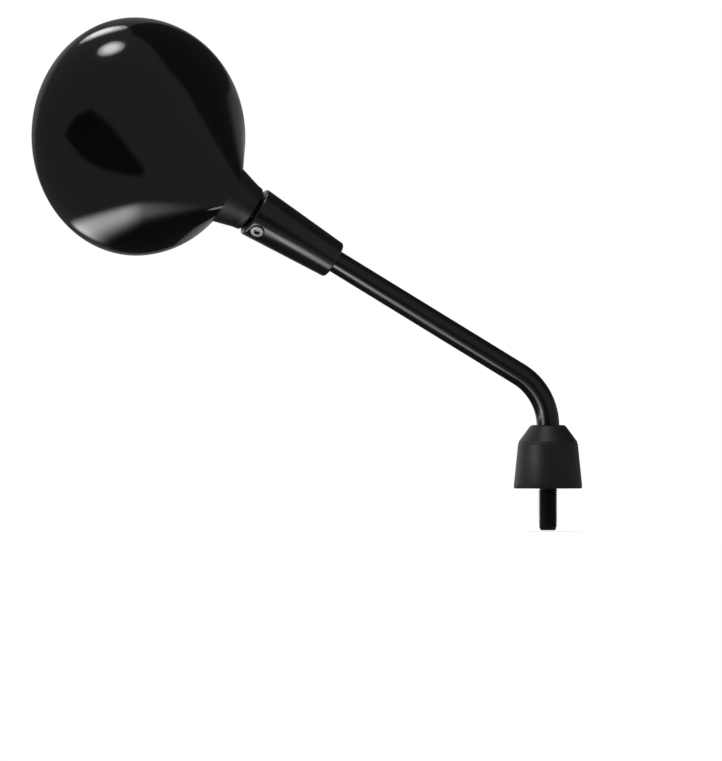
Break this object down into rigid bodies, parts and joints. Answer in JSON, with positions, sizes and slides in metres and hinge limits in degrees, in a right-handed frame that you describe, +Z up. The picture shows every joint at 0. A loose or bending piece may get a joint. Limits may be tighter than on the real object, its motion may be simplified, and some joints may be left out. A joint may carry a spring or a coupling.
{
  "type": "motorcycle mirror",
  "caption": "Round scooter mirror: domed shell and convex glass on a friction ball joint, clamp sleeve, bent stem with threaded foot, lock nut and rubber boot.",
  "frame": {"origin": "middle of the seat under the boot, where the stem's thread leaves it", "axes": "+Z up along the thread, +Y the way the glass faces (rearwards on the vehicle), -X outboard"},
  "size_m": [0.2849, 0.0976, 0.2692],
  "materials": {
    "shell_gloss": "black moulded ABS, high gloss",
    "housing_nylon": "black glass-filled nylon, satin",
    "carrier_abs": "black moulded ABS, matt",
    "seat_acetal": "natural acetal, smooth",
    "zinc_steel": "bright zinc plated",
    "turned_steel": "turned and polished",
    "spring_steel": "hardened and oiled",
    "stainless": "bright stainless",
    "sleeve_paint": "satin black paint on die-cast zinc",
    "stem_paint": "satin black powder coat on steel",
    "boot_rubber": "moulded rubber, matt",
    "seal_rubber": "moulded rubber, matt",
    "foam_tape": "closed-cell foam, adhesive on both faces",
    "mirror_glass": "convex silvered glass"
  },
  "bodies": {
    "base": {"seat_washer": "zinc_steel", "lock_nut": "zinc_steel", "rubber_boot": "boot_rubber"},
    "stem": {"stem_rod": "stem_paint", "stem_sleeve": "sleeve_paint", "ball_stud": "turned_steel", "sleeve_screw": "stainless"},
    "lower_seat": {"lower_ball_seat": "seat_acetal"},
    "upper_seat": {"upper_ball_seat": "seat_acetal"},
    "head": {"rear_shell": "shell_gloss", "ball_housing": "housing_nylon", "neck_washer": "zinc_steel", "ring_nut": "zinc_steel", "pressure_plate": "turned_steel", "disc_springs": "spring_steel", "spring_plug": "zinc_steel", "glass_carrier": "carrier_abs", "carrier_screws": "zinc_steel", "glass_pad": "foam_tape", "mirror_glass": "mirror_glass", "glass_seal": "seal_rubber"}
  },
  "joints": [
    {"name": "stem_swivel", "type": "hinge", "parent": "base", "child": "stem", "pos_m": [0, 0, 0.005], "axis": [0, 0, 1], "range_deg": [-45, 45]},
    {"name": "head_tilt", "type": "hinge", "parent": "stem", "child": "lower_seat", "pos_m": [-0.15842, 0.05331, 0.15123], "axis": [-0.8124, 0.2734, 0.515], "range_deg": [-30, 30]},
    {"name": "head_lift", "type": "hinge", "parent": "lower_seat", "child": "upper_seat", "pos_m": [-0.15842, 0.05331, 0.15123], "axis": [0.319, 0.9478, 0], "range_deg": [-10, 10]},
    {"name": "head_pan", "type": "hinge", "parent": "upper_seat", "child": "head", "pos_m": [-0.15842, 0.05331, 0.15123], "axis": [0.4881, -0.1643, 0.8572], "range_deg": [-10, 10]}
  ]
}
